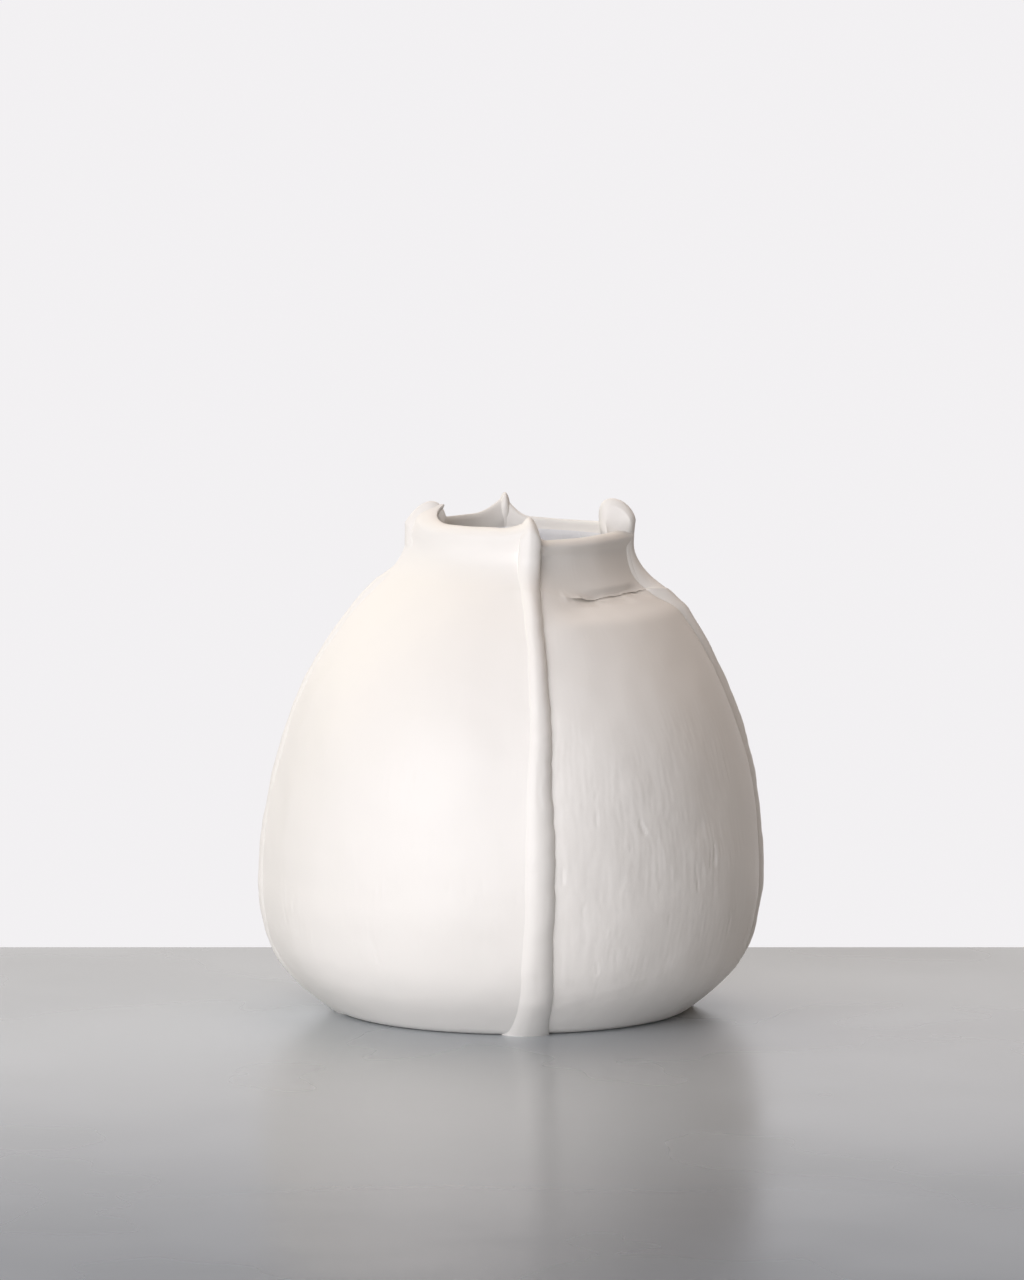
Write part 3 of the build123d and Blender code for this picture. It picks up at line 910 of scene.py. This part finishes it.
class VASE_OT_base(bpy.types.Operator):
    """Gives the base slab and its coil their bare clay"""

    bl_idname = "vase.base"
    bl_label = "Base"

    def execute(self, context):
        material = bare_material()
        for name in ("base_slab", "base_coil"):
            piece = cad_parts[name]
            piece.data.materials.clear()
            piece.data.materials.append(material)
        return {"FINISHED"}


class VASE_OT_stage(bpy.types.Operator):
    """Lays the floor, hangs the lights and sets the camera"""

    bl_idname = "vase.stage"
    bl_label = "Stage"

    def execute(self, context):
        stage = context.scene.vase_stage
        back = Vector((-math.sin(VIEW_TURN), math.cos(VIEW_TURN), 0))
        right = Vector((math.cos(VIEW_TURN), math.sin(VIEW_TURN), 0))
        self.lay_floor(stage, back, right)
        for name, light in LIGHTS.items():
            self.hang_light(name, getattr(stage, name), light, back, right)
        self.surround(stage)
        self.set_camera(context, back, right)
        return {"FINISHED"}

    def lay_floor(self, stage, back, right):
        side = right * FLOOR_REACH
        behind = back * FLOOR_BEHIND
        ahead = back * -FLOOR_REACH
        corners = [behind - side, ahead - side, ahead + side, behind + side]
        mesh = bpy.data.meshes.new("floor")
        mesh.from_pydata([tuple(corner) for corner in corners], [], [(0, 1, 2, 3)])
        floor = bpy.data.objects.new("floor", mesh)
        bpy.context.scene.collection.objects.link(floor)
        material, graph, spot = new_material("floor")
        cloud = graph.smooth(graph.noise(spot, SWINGS["floor cloud"], 3.0), 0.3, 0.7)
        color = graph.blend(0.15 * cloud, (*stage.floor, 1), (*stage.floor_cloud, 1))
        nearness = graph.add("ShaderNodeVectorMath", {"operation": "DOT_PRODUCT"},
                             {0: spot, 1: tuple(-back)}, "Value")
        # Painted shade: towards the camera the floor goes over to a nearly black colour, in place of the
        # light falling off there
        color = graph.blend(graph.smooth(nearness, 0.06, 0.60), color, (*stage.floor_near_painted_shade, 1))
        tooth = graph.noise(spot, SWINGS["floor tooth"], 2.0)
        coat_material(graph, color, 0.22 + 0.08 * cloud, (0.05, 0.0004, tooth), 0.85)
        mesh.materials.append(material)

    def hang_light(self, name, power, light, back, right):
        """Soft light of a power, hung as its row says and aimed at the middle of the vase."""
        turn = math.radians(light["turn"])
        lift = math.radians(light["lift"])
        aim = Vector((0, 0, AIM_HEIGHT))
        level = right * math.sin(turn) - back * math.cos(turn)
        place = aim + (level * math.cos(lift) + Vector((0, 0, math.sin(lift)))) * light["away"]
        data = bpy.data.lights.new(name, "AREA")
        data.energy = power
        data.color = light["color"]
        data.shape = "RECTANGLE"
        data.size, data.size_y = light["sides"]
        lamp = bpy.data.objects.new(name, data)
        lamp.location = place
        lamp.rotation_euler = (aim - place).to_track_quat("-Z", "Y").to_euler()
        bpy.context.scene.collection.objects.link(lamp)

    def surround(self, stage):
        world = bpy.data.worlds.new("studio")
        world.use_nodes = True
        bpy.context.scene.world = world
        graph = Graph(world.node_tree)
        path = graph.add("ShaderNodeLightPath").socket.node
        seen, shiny, through = [Wire(graph, path.outputs["Is %s Ray" % kind])
                                for kind in ("Camera", "Glossy", "Transmission")]
        seen = graph.math("MINIMUM", seen + shiny + through, 1.0)
        light = graph.add("ShaderNodeBackground", None,
                          {"Color": (*stage.ambient_color, 1), "Strength": stage.ambient})
        sight = graph.add("ShaderNodeBackground", None, {"Color": (*stage.backdrop, 1), "Strength": 1.0})
        both = graph.add("ShaderNodeMixShader", None, {0: seen, 1: light, 2: sight})
        graph.add("ShaderNodeOutputWorld", None, {"Surface": both})

    def set_camera(self, context, back, right):
        data = bpy.data.cameras.new("camera")
        data.sensor_fit = "VERTICAL"
        data.sensor_height = SENSOR
        data.lens = SENSOR * FOCAL_PIXELS / IMAGE_PIXELS
        data.clip_end = 20.0
        camera = bpy.data.objects.new("camera", data)
        camera.location = back * -CAMERA_AWAY + Vector((0, 0, CAMERA_HEIGHT)) - right * CAMERA_LEFT
        forward = back * math.cos(CAMERA_PITCH) - Vector((0, 0, math.sin(CAMERA_PITCH)))
        camera.rotation_euler = forward.to_track_quat("-Z", "Y").to_euler()
        context.scene.collection.objects.link(camera)
        context.scene.camera = camera
        context.scene.view_settings.view_transform = "Standard"


class VASE_PT_sidebar(bpy.types.Panel):
    """Lists the vase's pieces and sizes"""

    bl_idname = "VASE_PT_sidebar"
    bl_label = "Pillow vase"
    bl_space_type = "VIEW_3D"
    bl_region_type = "UI"
    bl_category = "Vase"

    def draw(self, context):
        for name in GROUPS:
            group = getattr(context.scene, name)
            box = self.layout.box()
            for key in group.__annotations__:
                box.prop(group, key)
        for operator in OPERATORS:
            self.layout.operator(operator.bl_idname)


GROUPS = {
    "vase_body": VaseBody,
    "vase_collar": VaseCollar,
    "vase_seams": VaseSeams,
    "vase_hand": VaseHand,
    "vase_glaze": VaseGlaze,
    "vase_finish": VaseFinish,
    "vase_stage": VaseStage,
}
OPERATORS = (
    VASE_OT_stage,
    VASE_OT_wall_panels,
    VASE_OT_collar_panels,
    VASE_OT_seam_strips,
    VASE_OT_glaze_coat,
    VASE_OT_base,
)


def register():
    for name, group in GROUPS.items():
        bpy.utils.register_class(group)
        setattr(bpy.types.Scene, name, PointerProperty(type=group))
    for kind in (*OPERATORS, VASE_PT_sidebar):
        bpy.utils.register_class(kind)


def unregister():
    for kind in (VASE_PT_sidebar, *reversed(OPERATORS)):
        bpy.utils.unregister_class(kind)
    for name, group in GROUPS.items():
        delattr(bpy.types.Scene, name)
        bpy.utils.unregister_class(group)


def main():
    register()
    bpy.ops.vase.stage()
    bpy.ops.vase.wall_panels()
    bpy.ops.vase.collar_panels()
    bpy.ops.vase.seam_strips()
    bpy.ops.vase.glaze_coat()
    bpy.ops.vase.base()


if __name__ == "__main__":
    main()
